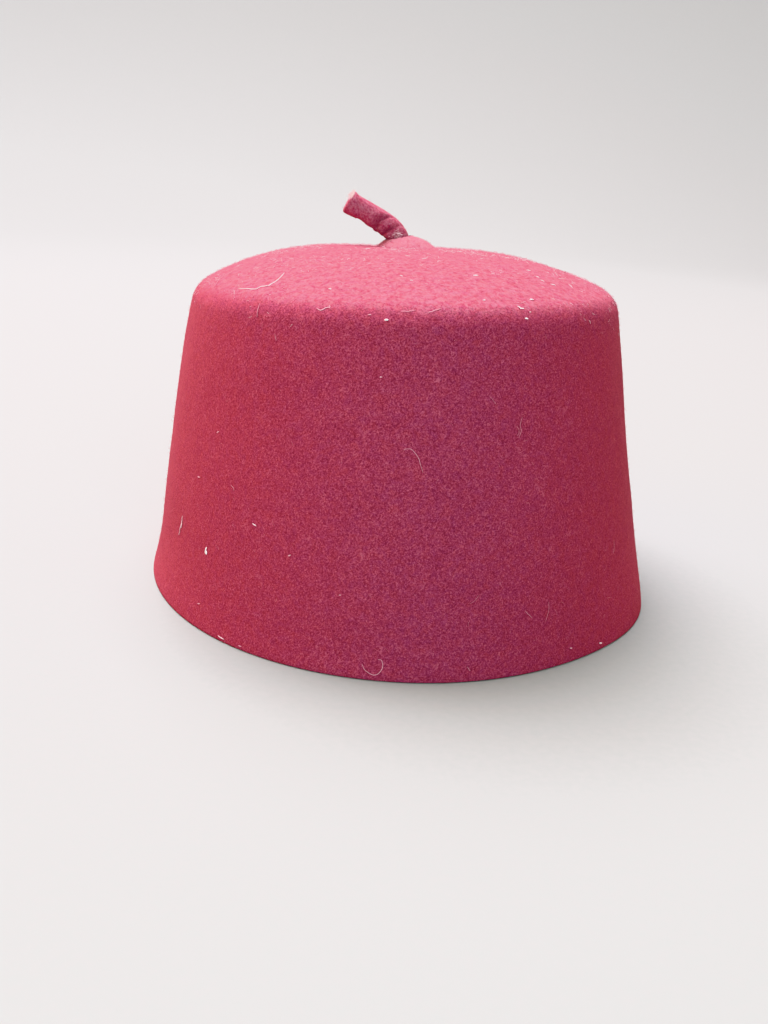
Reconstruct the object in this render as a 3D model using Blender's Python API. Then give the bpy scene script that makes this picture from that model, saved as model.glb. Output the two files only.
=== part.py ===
"""A felt fez: a tapered oval cap blocked in one piece, with a short bent stem in a low collar on its tip.

Metres, +Z up. The origin is on the floor under the middle of the rim, the cap is longest along Y, and its
front is towards -Y. The stem bends to the left, towards -X. To run it in Blender 4.5:
blender --background --python part.py
"""
import math

import bmesh
import bpy
from mathutils import Vector

# Crown, outside sizes
RIM_WIDTH = 0.175
RIM_LENGTH = 0.203
TIP_WIDTH = 0.1444  # where the wall's line would meet the tip's plane
TIP_LENGTH = 0.1675
CROWN_HEIGHT = 0.1045  # floor to the tip's plane
EDGE_RADIUS = 0.0095  # rounding between wall and tip
TIP_RISE = 0.0112  # middle of the tip above the end of that rounding
TIP_FULLNESS = 3.0  # power of the tip's curve: more is flatter in the middle and rounder towards the edge
TIP_LEAN = 0.0016  # the tip's middle is this far to the left of the rim's
TIP_TILT_SIDE = 0.0016  # the tip's right edge is this much higher than its middle
TIP_TILT_BACK = 0.0026  # the tip's back edge is this much lower than its middle
FELT_THICKNESS = 0.0027

# Collar, a low felt mound round the foot of the stem
COLLAR_DIAMETER = 0.0208
COLLAR_HEIGHT = 0.0041
COLLAR_EDGE = 0.0008  # thickness at its outer edge
COLLAR_EDGE_UNDERCUT = 0.3  # share of that edge that slopes in below
COLLAR_FULLNESS = 2.3  # power of its curve

# Stem, a stalk of solid felt
STEM_DIAMETER = 0.0079
STEM_LENGTH = 0.0238  # along its middle line
STEM_OFFSET = 0.0021  # its foot is this far to the left of the collar's middle
STEM_END_SLOPE = math.radians(26.5)  # of the straight part above the bend
STEM_BEND_SHARE = 0.52  # of its length that is bent
STEM_BEND_EASE = 2.0  # more bends it sooner
STEM_END_ROUNDING = 0.0005  # of the cut end's edge

# Fit between the pieces
CLEARANCE = 0.0003
HOLE_REACH = 1.5  # length of stem that the collar's hole has to clear, in collar heights

# Soft forms of the wall. Angles are in degrees from +X, anticlockwise from above. Height and its spread
# are shares of the crown's height. The push, outwards where it is above 0, is a share of the rim's width.
WALL_FORMS = (
    # name, angle, angle spread, height, height spread, push
    ("rim pushed out at the front right", -27, 15, 0.0, 0.13, 0.0195),
    ("rim flared at the left", 180, 38, 0.0, 0.045, 0.0045),
    ("waist at the left", 180, 35, 0.15, 0.08, -0.0045),
    ("belly at the left", 180, 35, 0.7, 0.18, 0.002),
    ("shoulder worn down at the left", 195, 40, 0.99, 0.06, -0.005),
    ("belly at the right", 0, 32, 0.3, 0.16, 0.006),
    ("shoulder worn down at the right", 0, 30, 0.93, 0.1, -0.0035),
    ("flat at the back", 96, 34, 0.42, 0.24, -0.006),
    ("belly at the front", -96, 30, 0.34, 0.2, 0.0025),
)

# Soft forms of the tip. Reach and spread are shares of the tip's half-size, and the lift, downwards where
# it is below 0, is a share of the tip's rise.
TIP_FORMS = (
    # name, angle, reach, spread, lift
    ("swell at the left", 180, 0.55, 0.3, 0.14),
    ("swell at the right", 12, 0.56, 0.14, 0.05),
    ("hollow by the right edge", 5, 0.84, 0.14, -0.09),
    ("hollow at the back", 118, 0.48, 0.22, -0.05),
)

TIP_FORM_FADE = 6  # power with which the tip's forms die out at its edge

# Creases and rolls of the stem where it bends. Place and spread are shares of its length, change and slant
# are shares of its radius, and a change below 0 is a crease.
STEM_FORMS = (
    # name, place, spread, change, slant
    ("foot crease", 0.19, 0.02, -0.1, 0.0),
    ("lower roll", 0.25, 0.035, 0.07, 0.1),
    ("lower crease", 0.315, 0.02, -0.16, 0.2),
    ("upper roll", 0.38, 0.035, 0.06, 0.25),
    ("upper crease", 0.455, 0.022, -0.18, 0.2),
    ("shoulder", 0.54, 0.05, 0.05, 0.1),
    ("neck", 0.8, 0.06, -0.05, -0.2),
    ("end", 0.97, 0.05, 0.03, 0.0),
)
CREASE_SHARES = (0.75, 0.5)  # of a crease's depth: all round, and what the inside of the bend has more
ROLL_SHARES = (0.6, 0.8)  # the same of a roll's height

# Fineness of the meshes
SHARP_ANGLE = math.radians(50)  # edges sharper than this are not smoothed
RING_STEPS = 64
WALL_SHARES = (0.0, 0.06, 0.13, 0.22, 0.34, 0.48, 0.63, 0.78, 0.9, 1.0)  # rows up the wall to the rounding
EDGE_STEPS = 6
TIP_SHARES = (0.92, 0.8, 0.66, 0.5, 0.33, 0.17)  # rows over the tip, as shares of its half-size
COLLAR_STEPS = 40
COLLAR_SHARES = (0.97, 0.88, 0.74, 0.58, 0.4, 0.2)
STEM_STEPS = 20
STEM_ROWS = 34
HOLE_ROWS = 17
STEM_SUBSTEPS = 12  # steps of its middle line between two rows


def bell(distance, spread):
    return math.exp(-0.5 * (distance / spread) ** 2)


def angle_between(a, b):
    """Difference of two angles in degrees, from -180 to 180."""
    return (a - b + 180) % 360 - 180


def link_object(name, bm, colour, roughness, parent, location=(0, 0, 0)):
    """Turns a bmesh into a smooth-shaded object with a felt material of its own."""
    bmesh.ops.recalc_face_normals(bm, faces=bm.faces)
    mesh = bpy.data.meshes.new(name)
    bm.to_mesh(mesh)
    bm.free()
    mesh.shade_smooth()
    mesh.set_sharp_from_angle(angle=SHARP_ANGLE)
    material = bpy.data.materials.new(name)
    material.use_nodes = True
    surface = material.node_tree.nodes["Principled BSDF"]
    surface.inputs["Base Color"].default_value = (*colour, 1)
    surface.inputs["Roughness"].default_value = roughness
    surface.inputs["Metallic"].default_value = 0
    mesh.materials.append(material)
    piece = bpy.data.objects.new(name, mesh)
    piece.location = location
    piece.parent = parent
    bpy.context.scene.collection.objects.link(piece)
    return piece


def join_rings(bm, rings, reverse=False):
    """Faces between each ring of vertices and the next."""
    for low, high in zip(rings, rings[1:]):
        count = len(low)
        for i in range(count):
            j = (i + 1) % count
            face = (low[i], low[j], high[j], high[i])
            bm.faces.new(face[::-1] if reverse else face)


def cap_ring(bm, ring, middle):
    """A fan of triangles from a ring to one vertex."""
    centre = bm.verts.new(middle)
    for i, vertex in enumerate(ring):
        bm.faces.new((vertex, ring[(i + 1) % len(ring)], centre))
    return centre


# Crown
def crown_rows():
    """Rows of the crown's outside from the rim to the last row before the middle of the tip.

    Each is the height, half-width and half-length of an oval, and how far out on the tip it lies: 1 on the
    wall and the rounding.
    """
    inset = (RIM_WIDTH - TIP_WIDTH + RIM_LENGTH - TIP_LENGTH) / 4
    lean_in = math.atan(inset / CROWN_HEIGHT)
    tangent = EDGE_RADIUS * math.tan((math.pi / 2 - lean_in) / 2)
    rounding_start = CROWN_HEIGHT - tangent * math.cos(lean_in)
    rows = []
    for share in WALL_SHARES:
        height = share * rounding_start
        up = height / CROWN_HEIGHT
        half_width = (RIM_WIDTH + (TIP_WIDTH - RIM_WIDTH) * up) / 2
        half_length = (RIM_LENGTH + (TIP_LENGTH - RIM_LENGTH) * up) / 2
        rows.append((height, half_width, half_length, 1.0))
    height, half_width, half_length, _ = rows[-1]
    edge_slope = math.atan(TIP_FULLNESS * TIP_RISE / ((half_width + half_length) / 2 - EDGE_RADIUS))
    rounding_end = math.pi / 2 - edge_slope
    for step in range(1, EDGE_STEPS + 1):
        turn = lean_in + (rounding_end - lean_in) * step / EDGE_STEPS
        step_in = EDGE_RADIUS * (math.cos(lean_in) - math.cos(turn))
        step_up = EDGE_RADIUS * (math.sin(turn) - math.sin(lean_in))
        rows.append((height + step_up, half_width - step_in, half_length - step_in, 1.0))
    height, half_width, half_length, _ = rows[-1]
    for share in TIP_SHARES:
        rise = TIP_RISE * (1 - share ** TIP_FULLNESS)
        rows.append((height + rise, half_width * share, half_length * share, share))
    return rows


def tip_oval():
    """Height, half-width and half-length of the oval where the rounding ends and the tip begins."""
    return crown_rows()[len(WALL_SHARES) + EDGE_STEPS - 1][:3]


def wall_push(angle, up):
    """How far the wall's forms move it outwards at an angle in degrees and a share of the crown's height."""
    push = 0.0
    for _, form_angle, angle_spread, height, height_spread, size in WALL_FORMS:
        beside = bell(angle_between(angle, form_angle), angle_spread)
        push += size * RIM_WIDTH * beside * bell(up - height, height_spread)
    return push


def tip_lift(across, along):
    """How far the tip's forms lift it, at shares of its half-width and half-length out."""
    reach = math.hypot(across, along)
    lift = 0.0
    for _, angle, form_reach, spread, size in TIP_FORMS:
        turn = math.radians(angle)
        aside = math.hypot(across - form_reach * math.cos(turn), along - form_reach * math.sin(turn))
        lift += size * TIP_RISE * bell(aside, spread)
    return lift * max(0.0, 1 - reach ** TIP_FORM_FADE)


def leaned(x, y, height):
    """A point of the straight crown after its tip leans to the left and tilts."""
    up = height / CROWN_HEIGHT
    tilt = TIP_TILT_SIDE * x / (TIP_WIDTH / 2) - TIP_TILT_BACK * y / (TIP_LENGTH / 2)
    return Vector((x - TIP_LEAN * up, y, height + tilt * up))


def crown_point(row, turn):
    """Point of the crown's outside on a row, at a turn in radians round the oval."""
    height, half_width, half_length, out = row
    across = math.cos(turn)
    along = math.sin(turn)
    x = half_width * across
    y = half_length * along
    if out < 1:
        return leaned(x, y, height + tip_lift(out * across, out * along))
    flat = Vector((x, y))
    flat += flat.normalized() * wall_push(math.degrees(turn), height / CROWN_HEIGHT)
    return leaned(flat.x, flat.y, height)


def outside_rings():
    """All rings of points on the crown's outside, moved so that the rim's box is centred on the origin."""
    turns = [2 * math.pi * i / RING_STEPS for i in range(RING_STEPS)]
    rings = [[crown_point(row, turn) for turn in turns] for row in crown_rows()]
    shift = rim_shift(rings[0])
    return [[point - shift for point in ring] for ring in rings]


def rim_shift(rim):
    """Middle of the rim's box, which the forms of the rim move away from the oval's middle."""
    xs = [point.x for point in rim]
    ys = [point.y for point in rim]
    return Vector(((min(xs) + max(xs)) / 2, (min(ys) + max(ys)) / 2, 0))


def tip_point(x, y):
    """Point of the tip's outside over a place given from the tip's middle."""
    height, half_width, half_length = tip_oval()
    across = x / half_width
    along = y / half_length
    rise = TIP_RISE * (1 - math.hypot(across, along) ** TIP_FULLNESS)
    rim = [crown_point(crown_rows()[0], 2 * math.pi * i / RING_STEPS) for i in range(RING_STEPS)]
    return leaned(x, y, height + rise + tip_lift(across, along)) - rim_shift(rim)


def make_crown(parent):
    """The cap: one felt skin, open below, with a flat cut rim on the floor."""
    bm = bmesh.new()
    outside = [[bm.verts.new(point) for point in ring] for ring in outside_rings()]
    join_rings(bm, outside)
    top = cap_ring(bm, outside[-1], tip_point(0, 0))
    bm.normal_update()
    inside = []
    for row, ring in enumerate(outside):
        inner = []
        for vertex in ring:
            inwards = -vertex.normal
            if row == 0:
                inwards = Vector((inwards.x, inwards.y, 0)).normalized()
            inner.append(bm.verts.new(vertex.co + inwards * FELT_THICKNESS))
        inside.append(inner)
    join_rings(bm, inside, reverse=True)
    cap_ring(bm, inside[-1][::-1], top.co - top.normal * FELT_THICKNESS)
    join_rings(bm, [inside[0], outside[0]])
    return link_object("crown", bm, (0.30, 0.022, 0.05), 0.95, parent)


# Stem
def stem_slope(share):
    """Slope of the stem's middle line at a share of its length: upright at the foot and gentler later."""
    bend = max(0.0, 1 - share / STEM_BEND_SHARE) ** STEM_BEND_EASE
    return STEM_END_SLOPE + (math.pi / 2 - STEM_END_SLOPE) * bend


def stem_places(rows):
    """Middle line of the stem from its foot: place, slope and share of the length for each row."""
    steps = rows * STEM_SUBSTEPS
    spot = Vector((0, 0, 0))
    places = [(spot.copy(), stem_slope(0), 0)]
    for step in range(1, steps + 1):
        slope = stem_slope((step - 0.5) / steps)
        spot += Vector((-math.cos(slope), 0, math.sin(slope))) * STEM_LENGTH / steps
        if step % STEM_SUBSTEPS == 0:
            places.append((spot.copy(), stem_slope(step / steps), step / steps))
    return places


def stem_radius(share, under):
    """Radius at a share of the stem's length, where under is 1 inside the bend and -1 outside it."""
    radius = 1.0
    for _, place, spread, change, slant in STEM_FORMS:
        near = share - place - slant * under * STEM_DIAMETER / 2 / STEM_LENGTH
        all_round, inside_more = CREASE_SHARES if change < 0 else ROLL_SHARES
        radius += change * (all_round + inside_more * under) * bell(near, spread)
    return radius * STEM_DIAMETER / 2


def stem_ring(bm, place, slope, radii):
    """Vertices round the stem at one place of its middle line, with a radius for each."""
    side = Vector((0, 1, 0))
    below = Vector((-math.sin(slope), 0, -math.cos(slope)))
    ring = []
    for i, radius in enumerate(radii):
        turn = 2 * math.pi * i / STEM_STEPS
        ring.append(bm.verts.new(place + (below * math.cos(turn) + side * math.sin(turn)) * radius))
    return ring


def stem_foot():
    """Where the foot of the stem stands: a clearance above the highest point of the tip under it."""
    radius = STEM_DIAMETER / 2
    reach = [(-STEM_OFFSET, 0), (-STEM_OFFSET - radius, 0), (radius - STEM_OFFSET, 0)]
    reach += [(-STEM_OFFSET, -radius), (-STEM_OFFSET, radius)]
    foot = tip_point(-STEM_OFFSET, 0)
    foot.z = max(tip_point(x, y).z for x, y in reach) + CLEARANCE
    return foot


def make_stem(parent):
    """The stalk: upright in the collar, creased where it bends, and cut square at its end."""
    bm = bmesh.new()
    rings = []
    turns = [2 * math.pi * i / STEM_STEPS for i in range(STEM_STEPS)]
    for place, slope, share in stem_places(STEM_ROWS):
        radii = [stem_radius(share, math.cos(turn)) for turn in turns]
        rings.append(stem_ring(bm, place, slope, radii))
    # The cut end, with a little rounding at its edge
    place, slope, share = stem_places(STEM_ROWS)[-1]
    ahead = Vector((-math.cos(slope), 0, math.sin(slope))) * STEM_END_ROUNDING
    radii = [stem_radius(share, math.cos(turn)) - STEM_END_ROUNDING for turn in turns]
    rings.append(stem_ring(bm, place + ahead, slope, radii))
    join_rings(bm, rings)
    cap_ring(bm, rings[-1], place + ahead)
    cap_ring(bm, rings[0][::-1], Vector((0, 0, 0)))
    return link_object("stem", bm, (0.26, 0.03, 0.065), 0.9, parent, stem_foot())


def make_stem_hole(parent):
    """Cutter for the collar: the stem's route a clearance wider, and run out below the collar."""
    bm = bmesh.new()
    radii = [STEM_DIAMETER / 2 * stem_widest() + CLEARANCE] * STEM_STEPS
    rings = [stem_ring(bm, Vector((0, 0, -COLLAR_HEIGHT)), math.pi / 2, radii)]
    for place, slope, _ in stem_places(HOLE_ROWS):
        rings.append(stem_ring(bm, place, slope, radii))
    join_rings(bm, rings)
    cap_ring(bm, rings[-1], place)
    cap_ring(bm, rings[0][::-1], Vector((0, 0, -COLLAR_HEIGHT)))
    cutter = link_object("stem_hole", bm, (0.5, 0.5, 0.5), 0.9, parent, stem_foot())
    cutter.hide_render = True
    cutter.display_type = "WIRE"
    return cutter


def stem_widest():
    """Largest share of its plain radius that the stem reaches inside the collar."""
    reach = COLLAR_HEIGHT * HOLE_REACH / STEM_LENGTH
    inside = [share for _, _, share in stem_places(STEM_ROWS) if share <= reach]
    widest = max(stem_radius(share, under) for share in inside for under in (-1, 0, 1))
    return widest / (STEM_DIAMETER / 2)


# Collar
def collar_ring(bm, share, over):
    """Vertices of the collar at a share of its radius and a height over the tip."""
    ring = []
    middle = tip_point(0, 0)
    for i in range(COLLAR_STEPS):
        turn = 2 * math.pi * i / COLLAR_STEPS
        x = share * COLLAR_DIAMETER / 2 * math.cos(turn)
        y = share * COLLAR_DIAMETER / 2 * math.sin(turn)
        seat = tip_point(x, y) - middle
        ring.append(bm.verts.new((seat.x, seat.y, seat.z + over)))
    return ring


def make_collar(parent, cutter):
    """The mound: its underside follows the tip, and the stem comes up through its hole."""
    bm = bmesh.new()
    under = [collar_ring(bm, share, CLEARANCE) for share in COLLAR_SHARES]
    edge = [collar_ring(bm, 1.0, CLEARANCE + COLLAR_EDGE * up) for up in (COLLAR_EDGE_UNDERCUT, 1)]
    over = []
    for share in COLLAR_SHARES:
        rise = (COLLAR_HEIGHT - CLEARANCE - COLLAR_EDGE) * (1 - share ** COLLAR_FULLNESS)
        over.append(collar_ring(bm, share, CLEARANCE + COLLAR_EDGE + rise))
    join_rings(bm, under[::-1] + edge + over)
    cap_ring(bm, over[-1], (0, 0, COLLAR_HEIGHT))
    cap_ring(bm, under[-1][::-1], (0, 0, CLEARANCE))
    collar = link_object("stem_collar", bm, (0.34, 0.03, 0.065), 0.95, parent, tip_point(0, 0))
    cut = collar.modifiers.new("hole for the stem", "BOOLEAN")
    cut.operation = "DIFFERENCE"
    cut.solver = "EXACT"
    cut.object = cutter
    return collar


def main():
    for leftover in list(bpy.data.objects):
        bpy.data.objects.remove(leftover)
    hat = bpy.data.objects.new("hat", None)
    bpy.context.scene.collection.objects.link(hat)
    make_crown(hat)
    make_stem(hat)
    make_collar(hat, make_stem_hole(hat))


main()
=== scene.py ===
import math
import random

import bmesh
import bpy
from mathutils import Matrix, Vector, noise
from mathutils.bvhtree import BVHTree


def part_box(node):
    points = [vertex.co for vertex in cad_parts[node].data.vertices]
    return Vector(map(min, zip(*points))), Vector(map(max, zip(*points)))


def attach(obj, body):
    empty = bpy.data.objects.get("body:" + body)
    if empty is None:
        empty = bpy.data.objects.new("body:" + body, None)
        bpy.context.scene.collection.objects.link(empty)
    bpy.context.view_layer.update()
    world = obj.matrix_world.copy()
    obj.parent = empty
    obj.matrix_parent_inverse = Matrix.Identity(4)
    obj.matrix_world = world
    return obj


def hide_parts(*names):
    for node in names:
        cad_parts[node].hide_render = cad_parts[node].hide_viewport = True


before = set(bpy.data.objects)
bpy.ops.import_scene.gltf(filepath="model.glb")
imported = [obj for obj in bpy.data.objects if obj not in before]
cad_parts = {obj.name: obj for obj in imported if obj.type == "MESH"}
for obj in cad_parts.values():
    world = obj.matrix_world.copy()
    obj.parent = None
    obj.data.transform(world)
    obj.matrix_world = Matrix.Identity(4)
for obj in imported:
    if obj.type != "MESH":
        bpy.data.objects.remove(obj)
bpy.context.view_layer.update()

scene = bpy.context.scene


# Small helpers for node trees
def fillSocket(tree, socket, value):
    if isinstance(value, bpy.types.NodeSocket):
        tree.links.new(value, socket)
    else:
        socket.default_value = value


def addNode(tree, kind, inputs=None, **settings):
    node = tree.nodes.new(kind)
    for name, value in settings.items():
        setattr(node, name, value)
    for name, value in (inputs or {}).items():
        fillSocket(tree, node.inputs[name], value)
    return node


def newTree(name, kind, inputs, outputs):
    tree = bpy.data.node_groups.new(name, kind)
    for socketName, socketKind, value in inputs:
        socket = tree.interface.new_socket(name=socketName, in_out="INPUT", socket_type=socketKind)
        if value is not None:
            socket.default_value = value
    for socketName, socketKind in outputs:
        tree.interface.new_socket(name=socketName, in_out="OUTPUT", socket_type=socketKind)
    return tree, tree.nodes.new("NodeGroupInput").outputs, tree.nodes.new("NodeGroupOutput")


def mathNode(tree, operation, first, second=0.0):
    return addNode(tree, "ShaderNodeMath", {0: first, 1: second}, operation=operation).outputs[0]


def mapNode(tree, value, low, high, newLow=0.0, newHigh=1.0):
    inputs = {"Value": value, "From Min": low, "From Max": high, "To Min": newLow, "To Max": newHigh}
    return addNode(tree, "ShaderNodeMapRange", inputs).outputs["Result"]


def noiseNode(tree, place, scale, detail=2.0, roughness=0.5, distortion=0.0):
    inputs = {"Vector": place, "Scale": scale, "Detail": detail, "Roughness": roughness,
              "Distortion": distortion}
    return addNode(tree, "ShaderNodeTexNoise", inputs).outputs["Fac"]


def mixColours(tree, share, first, second):
    node = addNode(tree, "ShaderNodeMix", {0: share}, data_type="RGBA")
    fillSocket(tree, node.inputs[6], first)
    fillSocket(tree, node.inputs[7], second)
    return node.outputs[2]


# Camera, at the angle of the photo
cameraSizes = {
    "place": (-0.03606, -0.38646, 0.14309),
    "ahead": (0.07747, 0.94946, -0.30416),
    "right": (0.99652, -0.06436, 0.05292),
    "focal": 38.67,  # mm, on a long side of 36 mm
    "longSide": 36,
    "imageWidth": 768,
    "imageHeight": 1024,
}


def cameraAxes():
    ahead = Vector(cameraSizes["ahead"]).normalized()
    right = Vector(cameraSizes["right"])
    right = (right - ahead * right.dot(ahead)).normalized()
    return right, right.cross(ahead), ahead


def addCamera():
    right, up, ahead = cameraAxes()
    lens = bpy.data.cameras.new("camera")
    lens.lens = cameraSizes["focal"]
    lens.sensor_width = cameraSizes["longSide"]
    lens.clip_start = 0.01
    lens.dof.use_dof = False
    camera = bpy.data.objects.new("camera", lens)
    turn = Matrix((right, up, -ahead)).transposed().to_4x4()
    camera.matrix_world = Matrix.Translation(cameraSizes["place"]) @ turn
    scene.collection.objects.link(camera)
    scene.camera = camera


def photoRay(x, y):
    right, up, ahead = cameraAxes()
    pixels = cameraSizes["focal"] / cameraSizes["longSide"] * cameraSizes["imageHeight"]
    across = (x - cameraSizes["imageWidth"] / 2) / pixels
    down = (y - cameraSizes["imageHeight"] / 2) / pixels
    return (ahead + right * across - up * down).normalized()


addCamera()
print("camera placed")


# Wool felt: colours in linear light, grain and bump sizes in metres
feltLook = {
    "crown": {"dark": (0.10, 0.010, 0.018), "body": (0.30, 0.047, 0.063), "plum": (0.24, 0.045, 0.087),
              "light": (0.52, 0.13, 0.17), "seed": 0.0, "fineness": 1.0, "hazeLow": 0.38},
    # The collar's felt is a little paler than the crown's, partly painted light
    "collar": {"dark": (0.14, 0.016, 0.028), "body": (0.33, 0.048, 0.068), "plum": (0.28, 0.042, 0.085),
               "light": (0.56, 0.16, 0.21), "seed": 3.1, "fineness": 0.8, "hazeLow": 0.25},
    "stem": {"dark": (0.13, 0.015, 0.028), "body": (0.30, 0.046, 0.066), "plum": (0.26, 0.04, 0.082),
             "light": (0.48, 0.14, 0.19), "seed": 7.7, "fineness": 0.5, "hazeLow": 0.38},
    "haze": (0.86, 0.52, 0.55),  # painted sheen: the pale catch of light on the nap
    "ruddy": (0.33, 0.034, 0.036),  # painted warm light: the sides of the wall painted redder, as if lit warm from each side
    "paintedWarmSideShare": 0.3,
    "hazeSize": 0.0015,
    "hazeHigh": 0.62,  # the painted sheen is whole where its noise is above this, and gone below hazeLow
    "strandHaze": 1.0,  # how much of that paleness the strands take
    "creaseShade": 0.55,  # painted shade: how dark the felt is painted in a crease
    "cream": (0.86, 0.74, 0.62),  # undyed wool of the cut end
    "driftSize": 0.03,
    "tuftSize": 0.0022,
    "grainSize": 0.00046,
    "strandSize": 0.0034,
    "bumpHeight": 0.00035,
    "bumpStrength": 0.55,
    "specular": 0.1,
    "sheen": 0.07,
    "sheenRoughness": 0.45,
    "sheenTint": (1.0, 0.3, 0.3),
}

# How the wool's noises turn into colour and height
woolPattern = {
    # noise from and to, share at each of them
    "plum": (0.38, 0.74, 0.1, 0.8),
    "dark": (0.52, 0.36, 0.0, 0.75),  # gaps between the grains
    "light": (0.54, 0.72, 0.0, 0.7),  # the highest grains
    "strandLine": (0.0, 0.018, 1.0, 0.0),
    "strandRuns": (0.52, 0.6, 0.0, 1.0),
    "roughness": (0.3, 0.7, 0.82, 1.0),
    "plumDrift": 0.12,
    "strandLight": 0.5,
    "grainHeight": 0.7,
    "tuftHeight": 0.6,
    "strandHeight": 0.25,
    # the coarse grain of the tip against the fine one, partly painted shadows of tufts in grazing light: its
    # scale, dark gaps and bumps
    "coarseScale": 0.42,
    "coarseDark": 0.75,
    "coarseHeight": 0.85,
}


def makeWoolGroup():
    colours = [(name, "NodeSocketColor", (0.3, 0.02, 0.05, 1)) for name in ("Dark", "Body", "Plum", "Light")]
    sizes = [("Coarse", "NodeSocketFloat", 0.0), ("Drift Size", "NodeSocketFloat", 0.03),
             ("Tuft Size", "NodeSocketFloat", 0.003), ("Grain Size", "NodeSocketFloat", 0.001),
             ("Strand Size", "NodeSocketFloat", 0.003)]
    outputs = (("Color", "NodeSocketColor"), ("Height", "NodeSocketFloat"), ("Roughness", "NodeSocketFloat"))
    tree, given, result = newTree("woolMix", "ShaderNodeTree",
                                  [("Vector", "NodeSocketVector", None)] + colours + sizes, outputs)
    place = given["Vector"]
    drift = noiseNode(tree, place, mathNode(tree, "DIVIDE", 1.0, given["Drift Size"]), 3.0)
    tuft = noiseNode(tree, place, mathNode(tree, "DIVIDE", 1.0, given["Tuft Size"]), 4.0, 0.65, 0.6)
    grainScale = mathNode(tree, "DIVIDE", 1.0, given["Grain Size"])
    fine = noiseNode(tree, place, grainScale, 3.0, 0.75, 0.4)
    # On the up-facing tip a coarser grain, partly painted shade: the shadows its tufts cast in grazing light
    coarseScale = mathNode(tree, "MULTIPLY", grainScale, woolPattern["coarseScale"])
    rough = noiseNode(tree, place, coarseScale, 3.0, 0.7, 0.6)
    mixed = addNode(tree, "ShaderNodeMix", {0: given["Coarse"], 2: fine, 3: rough}, data_type="FLOAT")
    grain = mixed.outputs[0]
    # Strands are the lines along which a curled noise crosses its middle value
    strandScale = mathNode(tree, "DIVIDE", 1.0, given["Strand Size"])
    curled = noiseNode(tree, place, strandScale, 1.0, 0.5, 1.6)
    apart = mathNode(tree, "ABSOLUTE", mathNode(tree, "SUBTRACT", curled, 0.5))
    line = mapNode(tree, apart, *woolPattern["strandLine"])
    patches = noiseNode(tree, place, mathNode(tree, "MULTIPLY", strandScale, 0.8), 2.0)
    strand = mathNode(tree, "MULTIPLY", line, mapNode(tree, patches, *woolPattern["strandRuns"]))
    drifted = mathNode(tree, "ADD", tuft, mathNode(tree, "MULTIPLY", drift, woolPattern["plumDrift"]))
    colour = mixColours(tree, mapNode(tree, drifted, *woolPattern["plum"]), given["Body"], given["Plum"])
    softer = mapNode(tree, given["Coarse"], 0.0, 1.0, 1.0, woolPattern["coarseDark"])
    darkShare = mathNode(tree, "MULTIPLY", mapNode(tree, grain, *woolPattern["dark"]), softer)
    colour = mixColours(tree, darkShare, colour, given["Dark"])
    colour = mixColours(tree, mapNode(tree, grain, *woolPattern["light"]), colour, given["Light"])
    strandShare = mathNode(tree, "MULTIPLY", strand, woolPattern["strandLight"])
    colour = mixColours(tree, strandShare, colour, given["Light"])
    grainRise = mathNode(tree, "MULTIPLY", grain, woolPattern["grainHeight"])
    tuftRise = mathNode(tree, "MULTIPLY", tuft, woolPattern["tuftHeight"])
    strandRise = mathNode(tree, "MULTIPLY", strand, woolPattern["strandHeight"])
    height = mathNode(tree, "ADD", mathNode(tree, "ADD", grainRise, tuftRise), strandRise)
    flatter = mapNode(tree, given["Coarse"], 0.0, 1.0, 1.0, woolPattern["coarseHeight"])
    fillSocket(tree, result.inputs["Color"], colour)
    fillSocket(tree, result.inputs["Height"], mathNode(tree, "MULTIPLY", height, flatter))
    fillSocket(tree, result.inputs["Roughness"], mapNode(tree, tuft, *woolPattern["roughness"]))
    return tree


def attributeNode(tree, name):
    return addNode(tree, "ShaderNodeAttribute", attribute_name=name).outputs["Fac"]


def emptyMaterial(name):
    material = bpy.data.materials.new(name)
    material.use_nodes = True
    tree = material.node_tree
    surface = tree.nodes["Principled BSDF"]
    surface.inputs["Metallic"].default_value = 0
    surface.inputs["Specular IOR Level"].default_value = feltLook["specular"]
    surface.inputs["Sheen Weight"].default_value = feltLook["sheen"]
    surface.inputs["Sheen Roughness"].default_value = feltLook["sheenRoughness"]
    surface.inputs["Sheen Tint"].default_value = (*feltLook["sheenTint"], 1)
    return material, tree, surface


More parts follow.
